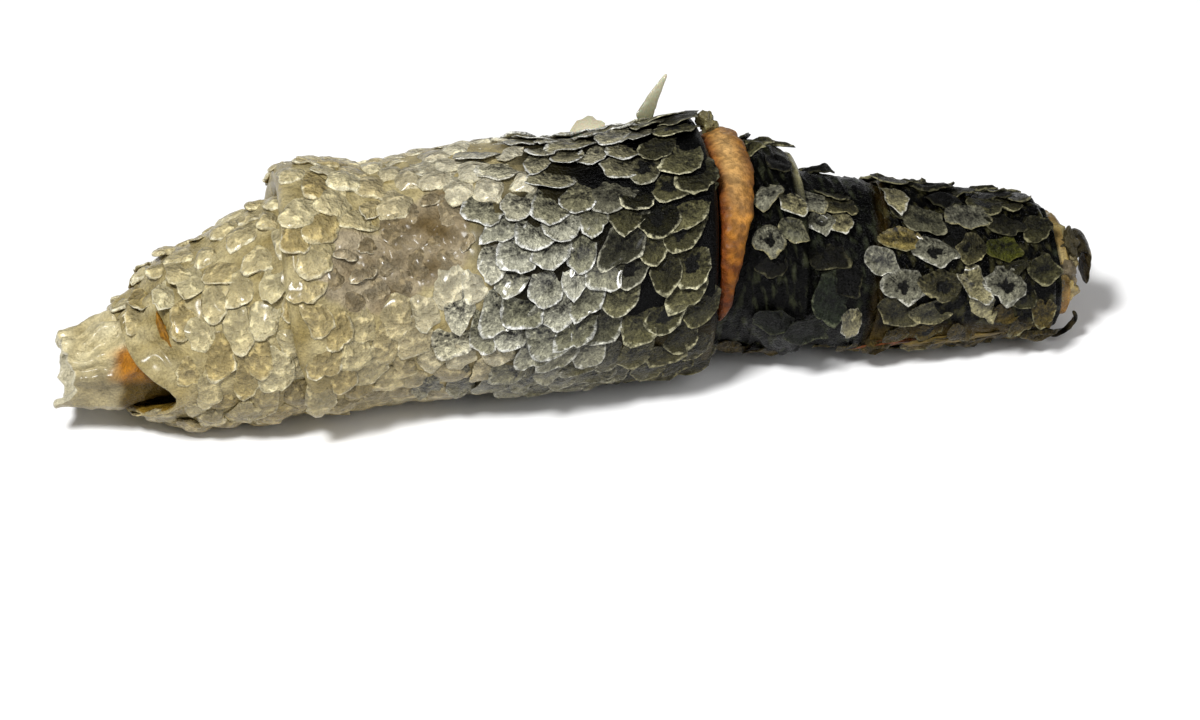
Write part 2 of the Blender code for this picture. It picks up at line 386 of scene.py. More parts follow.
def skin_look(name, roughness, coat, body, gloss):
    """Dried skin: its painted colour, mottled, with a fine wrinkled grain under a waxy coat."""
    look = Look(name, {"Coat Roughness": 0.2, "Subsurface Weight": body, "Specular IOR Level": gloss,
                       **SPREAD})
    tint = look.attribute("tint", "Color")
    look.feed("Coat Weight", look.step(0.02, 0.25, look.brightness(tint)) * coat)
    mottle = look.grain(look.place, 1.8 * MM, 5.0)
    fine = look.grain(look.place, 0.34 * MM, 5.0)
    crease = (look.grain(look.place, 1.3 * MM, 3.0) * 2 - 1).maths("ABSOLUTE")
    grit = look.step(0.35, 0.65, fine)
    look.feed("Base Color", look.scaled(tint, 0.52 + 0.3 * look.step(0.35, 0.65, mottle) + 0.2 * grit))
    look.feed("Roughness", roughness - 0.12 + 0.3 * fine)
    look.emboss(fine * 0.35 + mottle * 0.4 + crease * 0.8, 1.1 * MM)
    return look


tube = Layer("inner_roll")
HOLLOW = 13 * MM            # how far the mouth's hollow runs in
RIM = 0.3 * MM              # how far the rims at both ends bulge


def torn_back(angle):
    """How far the mouth's edge is torn back: a point is left low on the near side, under a deep bite."""
    point = 0.4 * MM * facing(angle, 125, 0.9)
    bite = 1.6 * MM * facing(angle, 98, 0.3)
    ragged = 0.9 * MM * lumps((9 * MM * cos(angle), 9 * MM * sin(angle), 0), 3 * MM, 4.0, 2)
    return 1.5 * MM - point + bite + ragged


tube.starts = [start + torn_back(tau * k / tube.AROUND) for k, start in enumerate(tube.starts)]


def tube_relief(x, angle):
    """The mouth's narrowing, folds along the top of the tube, and lumps."""
    narrow = -0.3 * tube.radius(x, angle) * rise(12 * MM, 0, x - tube.start(angle))
    on_top = rise(-0.1, 0.7, cos(angle - radians(10)))
    folds = sin(11 * angle + 9 * ripples(x, angle, 4, 6, 6.0, 2)) * on_top
    return narrow + 0.5 * MM * folds * (x < 0) + 0.9 * MM * ripples(x, angle, 5, 4, 3.0, 3)


def tube_tint(x, angle, inside):
    """Cream outside, with painted shade away from the top; greyish on the mouth's sunken side; amber where
    the cuff starts, painted darker lower down; inside, painted darker deeper in the hollow.
    """
    if x > 60 * MM:
        khaki = blend(ink(172, 152, 96), ink(196, 140, 62), rise(0.9, 2.0, turn_from(angle, 0)))
        return blend(khaki, ink(112, 84, 40), 0.5 + ripples(x, angle, 6, 2, 5.0, 2))
    shade = blend(ink(196, 180, 132), ink(222, 210, 168), 0.5 + ripples(x, angle, 6, 3, 1.0, 2))
    # painted shade: greyer away from the top, round the sides and underside
    shade = blend(shade, ink(150, 136, 100), 0.75 * away(angle, 0, 45, 80))
    glassy = facing(angle, 82, 0.35) * hump(x, -62.5 * MM, 3 * MM)
    shade = blend(shade, ink(112, 100, 72), 0.7 * glassy)
    # inside the hollow: pale at the mouth and darker amber further in, as painted shade of the hollow
    if inside:
        shade = blend(ink(206, 198, 168), ink(140, 110, 54), rise(-66 * MM, -59 * MM, x))
    # amber where the cuff starts: the skin's amber, painted darker further down the near side as shade
    # under the cuff
    amber = rise(-62.4 * MM, -59.8 * MM, x + 1.5 * MM * ripples(x, angle, 6, 2, 2.0))
    amber *= away(angle, 0, 35, 50)
    return blend(shade, blend(ink(186, 122, 36), ink(88, 70, 26), rise(1.1, 1.7, angle % tau)), amber)


tube.relief = tube_relief


def tube_piece():
    """The tube's mesh: down the hollow's wall to the mouth, out over the rim, along, and over the end."""
    wall = Wall(150, tube_tint)
    for i in range(26, -1, -1):
        depth = (i / 26)**1.5
        wall.ring(lambda a: tube.start(a) + RIM + HOLLOW * depth,
                  lambda x, a: (tube.surface(x, a) - SKIN) * (1 - 0.55 * depth**3), True)
    for bend in (0.5, 1.0, 1.5, 2.0, 2.6):
        wall.ring(lambda a: tube.start(a) + RIM * (1 - sin(bend)),
                  lambda x, a: tube.surface(x, a) - SKIN / 2 * (1 + cos(bend)), True)
    # stretches past the mouth in millimetres, with their rings: the mouth, what is wrapped, the dark end
    for first, last, count in ((0.3, 16, 80), (17, 130, 22), (131, 137, 24)):
        for i in range(count + 1):
            along = first * MM + (last * MM - first * MM) * i / count
            wall.ring(lambda a: min(tube.start(a) + along, tube.end(a) - RIM), tube.surface)
    for i in range(1, 30):
        inward = i / 30

        def coil(a):
            turn = sin(tau * 4 * inward + a) * 0.35 * MM * rise(0, 0.15, inward)
            return tube.end(a) - RIM + RIM * rise(0, 0.06, inward) + turn - 1.2 * MM * inward**2
        wall.ring(coil, lambda x, a: tube.surface(x, a) * (1 - inward))
    return skin_mesh("inner_tube", wall, False)


core_skin = show("inner_tube", tube_piece(), skin_look("belly_skin_glassy", 0.34, 0.3, 0.0, 0.15))
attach(core_skin, "root")
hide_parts("inner_roll")

# The under wrap: the next turns of the same skin. Its belly end is a flared cream cuff that stands off the
# tube on the near side, with an amber hollow under it; its back end is black, wrinkled and glossy.

under = Layer("under_wrap")
outer = Layer("outer_wrap")
tail = Layer("tail_wrap")
shoulder = Layer("shoulder_band")
TORN = 2.4 * MM             # how far the cuff is torn back on the near side
NEARER = 1.2 * MM           # the strip's neighbours lie this much nearer the belly end than their solids
under.starts = [start + TORN * facing(tau * k / under.AROUND, 88, 0.75)
                for k, start in enumerate(under.starts)]
outer.ends = [end - NEARER for end in outer.ends]
shoulder.starts = [start - NEARER for start in shoulder.starts]


def skin_tube(name, layer, inner_radius, spans, count, tint, lip):
    """A layer of skin as a closed tube; spans are stretches of its outside with their rings, from 0 to 1,
    and lip is how far its rounded edges bulge."""
    wall = Wall(count, tint)

    def inner(x, angle):
        return min(inner_radius(x, angle), layer.surface(x, angle) - 0.4 * MM)

    def rim(place, side):
        """Rings over a free edge; side is -1 at the belly end and 1 at the back end."""
        for step in range(1, 8):
            bend = pi * step / 8 if side > 0 else pi * (1 - step / 8)
            wall.ring(lambda a: place(a) + side * lip * (sin(bend) - 1),
                      lambda x, a: blend(layer.surface(x, a), inner(x, a), (1 - cos(bend)) / 2),
                      bend > pi / 2)

    def between(share):
        return lambda a: (layer.start(a) + lip) * (1 - share) + (layer.end(a) - lip) * share

    for first, last, steps in spans:
        for i in range(steps):
            wall.ring(between(first + (last - first) * i / steps), layer.surface)
    wall.ring(between(1.0), layer.surface)
    rim(layer.end, 1)
    for step in range(14, -1, -1):
        wall.ring(between((step / 14)**1.3), inner, True)
    rim(layer.start, -1)
    return skin_mesh(name, wall, True)


def cream(x, angle):
    """The belly skin's waxy cream, from honey to ivory, painted darker underneath as shade."""
    shade = blend(ink(146, 129, 80), ink(200, 186, 141), 0.5 + ripples(x, angle, 14, 4, 1.0, 2))
    # painted shade: darker towards the underside
    return blend(shade, ink(150, 132, 84), 0.55 * away(angle, -10, 75, 120))


def under_relief(x, angle):
    """Lumps in the cream end, which lies pressed on the tube on top; creases in the black end."""
    if x < 0:
        depth = x - under.start(angle)
        near_side = facing(angle, 86, radians(38))
        press = rise(10 * MM, 1 * MM, depth) * (1 - near_side)
        drop = tube.surface(x, angle) + 0.8 * MM - under.radius(x, angle)
        lip = 1.3 * MM * hump(x, -55 * MM, 3 * MM) * facing(angle, 155, 0.5)
        return lip + min(drop, 0) * press + 0.5 * MM * ripples(x, angle, 12, 5, 7.0, 3)
    creases = abs(ripples(x, angle, 3, 1.6, 8.0, 2))
    return 0.45 * MM * ripples(x, angle, 11, 4, 9.0, 2) - 1.0 * MM * creases


def sheen_streaks(x, angle, seed):
    """Where the black skin's wrinkles get a painted olive-grey sheen, in threads that run round the roll.
    """
    return rise(0.02, 0.42, lumps((1.7 * x, 8 * MM * angle, 0), 1.5 * MM, seed, 4))


def under_tint(x, angle, inside):
    """Cream at the belly end, with an amber inside painted dark as shade; black with a painted olive sheen
    at the back end.
    """
    if x < 0:
        # the amber inside is painted dark: painted shade under the cuff
        return ink(128, 102, 42) if inside else cream(x, angle)
    black = blend(ink(1, 1, 1), ink(48, 51, 38), sheen_streaks(x, angle, 4.0))
    seam = hump(x, tail.start(angle) - 0.2 * MM, 0.7 * MM)
    return blend(black, ink(80, 64, 30), 0.3 * seam)


def under_inside(x, angle):
    """The under wrap's inner wall: off the tube near its belly end, close to it further in."""
    depth = x - under.start(angle)
    close = tube.radius(x, angle) + 0.5 * MM
    return blend(under.surface(x, angle) - SKIN, close, rise(2 * MM, 6.5 * MM, depth))


under.relief = under_relief
under_mesh = skin_tube("under_wrap_skin", under, under_inside,
                       ((0, 0.2, 90), (0.2, 0.7, 16), (0.7, 0.83, 70), (0.83, 1, 24)), 220,
                       under_tint, 0.4 * MM)
under_skin = show("under_wrap_skin", under_mesh, skin_look("belly_skin_waxy", 0.24, 0.3, 0.12, 0.09))
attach(under_skin, "root")
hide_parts("under_wrap")

# The outer wrap: the widest turns, round the roll's middle. The skin runs from cream through a bare
# mauve-brown patch and silver flank to the charcoal back; its edges are soft and rolled under.

# the spots that make the bare patch: place in mm, side in degrees, half length in mm, half width in degrees
BARE = ((-30, 42, 5, 17), (-26.5, 48, 6.5, 20), (-20, 36, 6, 22), (-17, 24, 3.5, 16))


def bare(x, angle):
    """How bare of scales the skin is."""
    value = 0.0
    for place, side, long, wide in BARE:
        off = ((x / MM - place) / long)**2 + (turn_from(angle, side) / radians(wide))**2
        value = max(value, 1.25 - off)
    return min(max(value, 0.0), 1.0)


def outer_relief(x, angle):
    """Broad dents and small lumps, and puckers where the scales are gone."""
    small = 0.2 * ripples(x, angle, 17, 1.7, 12.0, 2)
    creases = abs(ripples(x, angle, 17, 2.0, 16.0, 2))
    puckers = bare(x, angle) * (1.1 * ripples(x, angle, 17, 3.0, 15.0, 3) - 0.8 * creases)
    return 0.4 * MM * ripples(x, angle, 17, 8, 11.0, 2) + MM * (0.3 * small + puckers) - 0.12 * MM


def paler(x, angle):
    """A place along the wrap as its colours see it: over the top and behind, cream reaches further."""
    return x - 7 * MM * rise(radians(35), radians(-10), signed(angle))


def outer_tint(x, angle, inside):
    wander = 5 * MM * ripples(x, angle, 17, 7, 13.0, 2)
    shade = cream(x, angle)
    shade = blend(shade, ink(40, 37, 24), rise(-18 * MM, -8 * MM, paler(x, angle) + wander))
    shade = blend(shade, ink(3, 3, 2), rise(-3 * MM, 6 * MM, x + wander))
    tone = 0.5 + 1.2 * ripples(x, angle, 17, 5, 14.0, 2) + 0.4 * rise(-22 * MM, -32 * MM, x)
    mauve = blend(ink(108, 91, 60), ink(172, 158, 130), tone)
    shade = blend(shade, mauve, rise(0.1, 0.5, bare(x, angle)))
    # painted shadow: a black patch on the skin below the lifted scales
    shade = blend(shade, ink(6, 6, 4), hump(x, -4.5 * MM, 4 * MM) * hump(angle, radians(67), radians(10)))
    if x > 0:
        shade = blend(shade, ink(74, 64, 34), 0.7 * away(angle, 0, 80, 115))
    return shade


outer.relief = outer_relief
outer_mesh = skin_tube("outer_wrap_skin", outer, lambda x, a: under.radius(x, a) + 0.35 * MM,
                       ((0, 1, 190),), 230, outer_tint, 1.2 * MM)
outer_skin = show("outer_wrap_skin", outer_mesh, skin_look("flank_skin", 0.3, 0.2, 0.04, 0.08))
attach(outer_skin, "root")
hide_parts("outer_wrap")

# The scales: thin horny plates in rows like roof tiles, their roots in pockets of the skin and their free
# edges pointing down the near side. On the belly they are thick, cream and waxy with a raised rim; on the
# flank crisp and silver with curled edges; near the back olive, and some are worn through to the black.


def plate(name, bend, seed, half_width, tip, root, thick, relief, ragged, slant, square):
    """One scale as a closed plate round its middle, from millimetres: -y is its free edge, z outwards."""
    spokes = 20
    rings = [(share, 0.0) for share in (0.3, 0.55, 0.74, 0.88, 0.96, 1.0)]
    rings += [(0.99, 0.6 * thick), (0.9, thick), (0.45, thick)]
    points = [Vector((0, 0, relief(0, 0, 0) * MM))]
    leaf = [(0, 0, 0)]

    def spot(share, a):
        round_off = (abs(cos(a))**square + abs(sin(a))**square)**(-1 / square)
        frayed = 1 + ragged * (noise.noise(Vector((cos(a), sin(a), seed)) * 1.3)
                               + 0.35 * noise.noise(Vector((3 * cos(a), 3 * sin(a), seed)))) * share**3
        x = half_width * cos(a) * round_off * share * frayed * (1 + 0.12 * sin(a))
        y = (root if sin(a) > 0 else tip) * sin(a) * round_off * share * frayed
        return x + slant * y, y

    for share, drop in rings:
        for k in range(spokes):
            a = tau * k / spokes
            x, y = spot(share, a)
            z = relief(share, share * cos(a), -share * sin(a)) - (x * x * 0.3 + y * y) / (2 * bend)
            leaf.append((share * cos(a), share * sin(a), 0))
            points.append(Vector((x, y, z - drop)) * MM)
    points.append(Vector((0, 0, (relief(0, 0, 0) - thick) * MM)))
    leaf.append((0, 0, 0))
    last = 1 + (len(rings) - 1) * spokes
    faces = []
    for k in range(spokes):
        n = (k + 1) % spokes
        faces.append((0, 1 + k, 1 + n))
        for near in range(1, last, spokes):
            faces.append((near + k, near + spokes + k, near + spokes + n, near + n))
        faces.append((last + k, len(points) - 1, last + n))
    mesh = bpy.data.meshes.new(name)
    mesh.from_pydata(points, [], faces)
    mesh.attributes.new("leaf", "FLOAT_VECTOR", "POINT").data.foreach_set("vector", np.ravel(leaf))
    return bpy.data.objects.new(name, outward(mesh))


# how a plate swells and curls, by the share of the way out, across it, and down towards its free edge
def crisp_lip(share, across, down):
    return 0.1 - 0.12 * share**2 + 0.26 * rise(0.7, 1.0, share) * max(down, 0)


def crisp_cup(share, across, down):
    return 0.36 * share**2 * rise(-0.3, 0.5, down) - 0.05


def crisp_corner(share, across, down):
    return 0.05 + 0.9 * max(0.0, 0.75 * across + 0.65 * down - 0.45)**1.3


def crisp_fold(share, across, down):
    return 0.25 * (1 - min(abs(across + 0.3 * down) * 2.2, 1)) + 0.22 * rise(0.8, 1.0, share) * max(down, 0)


def waxy_dish(share, across, down):
    return 0.5 - 0.6 * share**2 + 0.2 * hump(share, 0.82, 0.12)


def waxy_pad(share, across, down):
    return 0.62 - 0.75 * share**2


def waxy_peel(share, across, down):
    return 0.35 - 0.42 * share**2 + 0.7 * max(0.0, down - 0.55 + 0.4 * across)


CRISP = 17.0                # how strongly a scale bends round the roll, as a radius in millimetres
# half width, length to the tip and to the root, thickness, relief, raggedness, slant, squareness
scale_plates = [plate(f"plate_{k}", CRISP, 1.0 + k, *shape) for k, shape in enumerate((
    (2.60, 2.5, 4.6, 0.16, crisp_lip, 0.28, 0.30, 2.0),
    (2.55, 2.4, 4.6, 0.16, crisp_cup, 0.34, 0.10, 3.6),
    (2.60, 2.6, 4.6, 0.14, crisp_corner, 0.36, 0.45, 3.4),
    (2.50, 2.8, 4.6, 0.15, crisp_fold, 0.38, 0.20, 1.5),
    (2.55, 2.4, 4.0, 0.44, waxy_dish, 0.34, 0.15, 3.4),
    (2.45, 2.4, 3.6, 0.50, waxy_pad, 0.38, -0.1, 2.0),
    (2.60, 2.5, 4.0, 0.36, waxy_peel, 0.40, 0.30, 2.8),
))]


def lying(angle):
    """Scales lie flatter over the top and round the back than on the near side."""
    return 0.35 + 0.65 * away(angle, 60, 95, 60)


class Scale:
    """One scale: where it is, how it lies, which plate it is and what colours it has. Lean and tilt are in
    degrees, lift in millimetres, size is against the plate, and hole is how far the middle is worn."""

    SEAT = 0.3              # a scale's middle lies this far over the skin, in millimetres

    def __init__(self, layer, x, angle, pick, tint, edge, lean, tilt, lift, size, hole=0.0):
        self.spot = on_ray(x, angle, layer.surface(x, angle) + (lift + self.SEAT) * MM)
        slope = (layer.radius(x + MM, angle) - layer.radius(x - MM, angle)) / (2 * MM)
        out = Vector((-slope, -sin(angle), cos(angle))).normalized()
        fall = Vector((0, -cos(angle), -sin(angle)))
        fall = (fall - out * fall.dot(out)).normalized()
        side = fall.cross(out)
        growth = fall * cos(radians(lean)) + side * sin(radians(lean))
        lay = Matrix((out.cross(growth), -growth, out)).transposed()
        lay = lay @ Matrix.Rotation(radians(-tilt), 3, "X")
        self.turn = tuple(lay.to_euler())
        self.pick = pick
        self.tint = (*tint, 1.0)
        self.edge = (*edge, 1.0)
        self.size = size
        self.hole = hole


def scatter_tree(name, plates, look):
    """Geometry Nodes that put a plate on every guide point, crumple them all and join them."""
    tree = bpy.data.node_groups.new(name, "GeometryNodeTree")
    inputs = {}
    tree.interface.new_socket("Geometry", in_out="INPUT", socket_type="NodeSocketGeometry")
    for label in ("Crumple", "Crumple Grain", "Fray", "Fray Grain", "Seed"):
        item = tree.interface.new_socket(label, in_out="INPUT", socket_type="NodeSocketFloat")
        inputs[label] = item.identifier
    tree.interface.new_socket("Geometry", in_out="OUTPUT", socket_type="NodeSocketGeometry")
    graph = Graph(tree)
    given = graph.node("NodeGroupInput").outputs
    crumple, crumple_grain, fray, fray_grain, seed = [Number(graph, given[label]) for label in inputs]

    def stored(label, kind="FLOAT_VECTOR"):
        node = graph.node("GeometryNodeInputNamedAttribute", {"data_type": kind}, {"Name": label})
        return node.outputs[0]

    shapes = graph.node("GeometryNodeCollectionInfo", {}, {
        "Collection": plates, "Separate Children": True, "Reset Children": True})
    turn = graph.node("FunctionNodeEulerToRotation", {}, {0: stored("turn")})
    copies = graph.node("GeometryNodeInstanceOnPoints", {}, {
        "Points": given["Geometry"], "Instance": shapes.outputs[0], "Pick Instance": True,
        "Instance Index": stored("pick", "INT"), "Rotation": turn.outputs[0], "Scale": stored("size")})
    real = graph.node("GeometryNodeRealizeInstances", {}, {0: copies.outputs[0]})
    place = graph.node("GeometryNodeInputPosition").outputs[0]
    share = graph.length(stored("leaf"))

    def shake(amount, grain, shift):
        wave = graph.node("ShaderNodeTexNoise", {"noise_dimensions": "4D"},
                          {"Vector": place, "W": seed + shift, "Scale": grain, "Detail": 1.0})
        return graph.scaled(graph.vector("SUBTRACT", wave.outputs["Color"], (0.5, 0.5, 0.5)), amount)

    shift = graph.vector("ADD", shake(crumple * (0.35 + 0.65 * share), crumple_grain, 0.0),
                         shake(fray * share, fray_grain, 7.0))
    moved = graph.node("GeometryNodeSetPosition", {}, {"Geometry": real.outputs[0], "Offset": shift})
    smooth = graph.node("GeometryNodeSetShadeSmooth", {}, {"Geometry": moved.outputs[0]})
    done = graph.node("GeometryNodeSetMaterial", {},
                      {"Geometry": smooth.outputs[0], "Material": look.material})
    graph.node("NodeGroupOutput", {}, {0: done.outputs[0]})
    return tree, inputs


def plain_mesh(host):
    """What a helper object's modifiers make of it; the helper is removed."""
    mesh = bpy.data.meshes.new_from_object(host.evaluated_get(bpy.context.evaluated_depsgraph_get()))
    bpy.data.objects.remove(host)
    return mesh


def scale_piece(name, scales, plates, look, crumple, fray, seed):
    """A piece made of many scales: guide points, the Geometry Nodes that fill them, then a plain mesh."""
    folder = bpy.data.collections.new(name + "_plates")
    for item in plates:
        folder.objects.link(item)
    guide = bpy.data.meshes.new(name + "_guide")
    guide.from_pydata([scale.spot for scale in scales], [], [])
    for label, kind, field in (("turn", "FLOAT_VECTOR", "vector"), ("size", "FLOAT_VECTOR", "vector"),
                               ("pick", "INT", "value"), ("hole", "FLOAT", "value"),
                               ("tint", "FLOAT_COLOR", "color"), ("edge", "FLOAT_COLOR", "color")):
        values = np.ravel([getattr(scale, label) for scale in scales]).tolist()
        guide.attributes.new(label, kind, "POINT").data.foreach_set(field, values)
    host = placed(name + "_guide", guide)
    modifier = host.modifiers.new("scatter", "NODES")
    modifier.node_group, inputs = scatter_tree(name, folder, look)
    sizes = {"Crumple": crumple * MM, "Crumple Grain": 1 / (2.4 * MM), "Fray": fray * MM,
             "Fray Grain": 1 / (1.1 * MM), "Seed": seed}
    for label, value in sizes.items():
        modifier[inputs[label]] = value
    mesh = plain_mesh(host)
    for vert in mesh.vertices:
        vert.co.z = max(vert.co.z, CLEAR)
    return placed(name, mesh)


def scale_look(name, wax):
    """Horny scale, crisp at 0 and waxy at 1: a pale rim partly painted light, growth rings, painted glints,
    a root darkened with painted shadow, some a worn middle.
    """
    look = Look(name, {"Coat Roughness": 0.16, "Subsurface Weight": 0.2 * wax, "Specular IOR Level": 0.2,
                       **SPREAD})
    tint = look.attribute("tint", "Color")
    hole = Number(look, look.attribute("hole", "Fac"))
    leaf = look.attribute("leaf", "Vector")
    look.feed("Coat Weight", look.step(0.02, 0.3, look.brightness(tint)) * (0.4 - 0.15 * wax) * (1 - hole))
    share = look.length(leaf)
    root = look.number("ShaderNodeSeparateXYZ", {}, {0: leaf}, 1)
    mottle = look.grain(look.place, (0.8 + 0.4 * wax) * MM, 5.0)
    fine = look.grain(look.place, (0.3 + 0.2 * wax) * MM, 3.0)
    grit = look.step(0.36, 0.66, fine)
    patchy = look.step(0.36, 0.64, mottle)
    rings = (share * 46 + mottle * 9).maths("SINE") * 0.5 + 0.5
    outwards = look.scaled(look.vector("NORMALIZE", leaf), 8.0)
    fan = look.vector("ADD", outwards, look.scaled(look.place, 300.0))
    streak = look.step(0.38, 0.62, look.grain(fan, 1.0, 3.0)) * look.step(0.2, 0.7, share)
    # painted highlight: small glints brightened into the colour
    painted_glint = look.step(0.52, 0.68, look.grain(look.place, (0.5 + 0.7 * wax) * MM, 4.0)) * patchy
    # pale rim: partly the scale's thin pale edge, partly painted light on its free edge
    rim = look.step(0.84, 1.0, share + 0.5 * mottle - 0.25) * (1 - 0.7 * look.step(-0.2, 0.4, root))
    colour = look.mixed(tint, look.attribute("edge", "Color"), rim * (1 - 0.45 * wax))
    shade = 0.3 + 0.28 * wax + (0.28 - 0.1 * wax) * patchy + (0.24 - 0.14 * wax) * grit
    shade = shade + (0.3 - 0.2 * wax) * streak + (0.1 - 0.08 * wax) * rings + (0.6 - 0.15 * wax) * painted_glint
    # painted shadow: the root is darkened where the scale above overlaps it
    shade = shade - (0.42 - 0.2 * wax) * look.step(-0.7, 0.2, root)
    colour = look.scaled(colour, shade)
    worn = hole * (1 - look.step(0.32, 0.44, share + 1.1 * mottle - 0.55))
    look.feed("Base Color", look.mixed(colour, (0.004, 0.004, 0.003, 1), worn))
    look.feed("Roughness", 0.52 - 0.2 * grit)
    crease = (look.grain(look.place, 0.9 * MM, 3.0) * 2 - 1).maths("ABSOLUTE")
    look.emboss(fine * 0.5 + rings * (0.15 - 0.12 * wax) + mottle * 1.2 + crease * 0.7, 1.1 * MM)
    return look


def rows(layer, first, last, pitch, spacing, seed, near, far=1.0):
    """Places of scales in staggered rows, with a little disorder: where from and to, the distances along
    and between rows, and what stays free at the layer's two edges, all in millimetres."""
    sizes = (first, last, pitch, spacing, near, far)
    first, last, pitch, spacing, near, far = [size * MM for size in sizes]
    chance = random.Random(seed)
    count = 2 * round(tau * layer.radius((first + last) / 2, 1.0) / spacing / 2)
    for row in range(count):
        angle = tau * row / count
        shift = (row % 2) * pitch / 2
        for column in range(int((last - first) / pitch) + 2):
            x = first + column * pitch - shift + chance.uniform(-0.7, 0.7) * MM
            turned = angle + chance.uniform(-0.8, 0.8) * MM / layer.radius(x, angle)
            if layer.start(turned) + near < x < layer.end(turned) - far and first <= x <= last:
                yield x, turned, chance


def any_size(chance, *ranges):
    """A scale's width, length and thickness against its plate, each drawn from its own range."""
    return tuple(chance.uniform(low, high) for low, high in ranges)


def lean_of(angle):
    """The rows lean back near the top and hang straight on the near side."""
    return 26 * rise(0.3, 0.9, cos(angle + radians(10))) - 4


def belly_scale(layer, x, angle, chance):
    """A cream waxy scale, pressed into the skin."""
    tint = blend(ink(180, 160, 106), ink(222, 209, 164), chance.random())
    tint = blend(tint, ink(212, 206, 182), 0.8 * rise(-32 * MM, -10 * MM, x))
    # painted shade: tint and rim darker towards the underside
    below = away(angle, -10, 75, 125)
    tint = blend(tint, ink(146, 128, 82), 0.6 * below)
    edge = blend(ink(224, 212, 170), ink(252, 248, 224), chance.random())
    edge = blend(edge, ink(184, 168, 122), 0.5 * below)
    pick = chance.choice((4, 4, 4, 5, 5, 6, 6, 3))
    size = any_size(chance, (0.75, 1.12), (0.8, 1.12), (0.7, 1.5))
    return Scale(layer, x, angle, pick, tint, edge, lean_of(angle) + chance.uniform(-20, 20),
                 chance.uniform(3.5, 10) * lying(angle),
                 chance.uniform(-0.3, 0.0) - 0.35 * facing(angle, -35, 0.5), size)


def bare_pad(layer, x, angle, chance):
    """A swelling of bare skin where a scale sat."""
    tint = blend(ink(140, 124, 92), ink(174, 160, 130), chance.random())
    if chance.random() < 0.2:
        shred = (*any_size(chance, (0.4, 0.7), (0.3, 0.5)), 1.0)
        return Scale(layer, x, angle, 6, tint, ink(236, 228, 200), chance.uniform(-50, 50), 12, -0.1, shred)
    size = any_size(chance, (0.6, 0.95), (0.6, 1.0), (0.4, 1.1))
    return Scale(layer, x, angle, 5, tint, blend(tint, ink(220, 206, 180), 0.5), chance.uniform(-25, 25),
                 chance.uniform(0, 5), chance.uniform(-0.55, -0.3), size)


# scales that are worn through or stand up, and gaps where one is lost: place in mm, side in degrees
EYED = ((14.2, 29), (10.9, 41), (6.6, 61), (11.2, 20), (15.4, 64), (12.4, 52), (17.0, 40), (9.4, 84))
LIFTED = ((-8.5, 55), (-4.4, 54), (-1.5, 57))
GAPS = ((-7.5, 68), (-3.6, 67), (3.4, 8), (6.0, 24), (2.0, 48), (7.9, 71),
        (16.6, 53), (16.4, 80), (16.6, 66), (4.8, 101), (7.5, 91))


def near_one(spots, x, angle, reach):
    """Whether a place on the outer wrap lies within reach of one of the listed spots."""
    return any(((x - place * MM)**2 + (17 * MM * turn_from(angle, side))**2) < reach**2
               for place, side in spots)


def flank_scale(layer, x, angle, chance):
    """A crisp scale of the flank or the back: silver, then olive, then some worn through."""
    wander = paler(x, angle) + 4 * MM * ripples(x, angle, 17, 6, 21.0)
    silver = blend(ink(138, 136, 108), ink(216, 214, 192), chance.random())
    cream_tint = blend(ink(206, 196, 156), ink(244, 238, 208), chance.random())
    olive = blend(ink(36, 35, 20), ink(134, 129, 90), chance.random()**1.3)
    pale = rise(-24 * MM, -8 * MM, wander + chance.uniform(-4, 4) * MM)
    silver = blend(silver, ink(184, 174, 132), 0.6 * rise(radians(40), radians(5), signed(angle)))
    tint = blend(cream_tint, silver, pale)
    tint = blend(tint, olive, rise(-2 * MM, 7 * MM, wander))
    edge = blend(ink(240, 232, 204), ink(244, 244, 236), pale)
    edge = blend(edge, blend(ink(128, 123, 84), ink(226, 221, 184), chance.random()),
                 rise(0, 8 * MM, wander))
    # painted shade: tint and rim darker low on the near side
    low = away(angle, 0, 78, 112) * (angle < pi)
    tint = blend(tint, blend(ink(104, 96, 60), ink(66, 61, 36), rise(-6 * MM, 8 * MM, x)), 0.75 * low)
    edge = blend(edge, ink(128, 120, 80), 0.75 * low)
    hole = float(near_one(EYED, x, angle, 2.4 * MM) or (wander > 4 * MM and chance.random() < 0.14))
    size = any_size(chance, (0.8, 1.1), (0.85, 1.15), (0.8, 1.6))
    tilt = chance.uniform(5, 15) * (1 - 0.5 * low)
    if near_one(LIFTED, x, angle, 2.2 * MM):
        tilt = 17
    return Scale(layer, x, angle, chance.choice((0, 0, 1, 1, 2, 3)), tint, edge,
                 lean_of(angle) + chance.uniform(-12, 12), tilt * lying(angle), chance.uniform(0.0, 0.15),
                 size, hole)


cream_scales = []
flank_scales = []
for x, angle, chance in rows(outer, -36.9, 20.5, 4.15, 3.5, 5, 1.1, 1.5):
    beside_strip = x > outer.end(angle) - 2.4 * MM and turn_from(angle, 0) < radians(50)
    if beside_strip or near_one(GAPS, x, angle, 1.3 * MM):
        continue
    wander = paler(x, angle) + 3 * MM * ripples(x, angle, 17, 8, 31.0)
    if chance.random() < rise(0.25, 0.5, bare(x, angle)) * 0.96:
        cream_scales.append(bare_pad(outer, x, angle, chance))
    elif wander + chance.uniform(-8, 8) * MM < -15 * MM:
        cream_scales.append(belly_scale(outer, x, angle, chance))
    else:
        flank_scales.append(flank_scale(outer, x, angle, chance))
for x, angle, chance in rows(under, -60, -36.5, 4.2, 3.5, 6, 1.2):
    over_slit = turn_from(angle, 40) < radians(14) and abs(x + 54.6 * MM) < 2.4 * MM
    over_hollow = turn_from(angle, 110) < radians(35) and x < under.start(angle) + 3.4 * MM
    if not over_slit and not over_hollow:
        cream_scales.append(belly_scale(under, x, angle, chance))

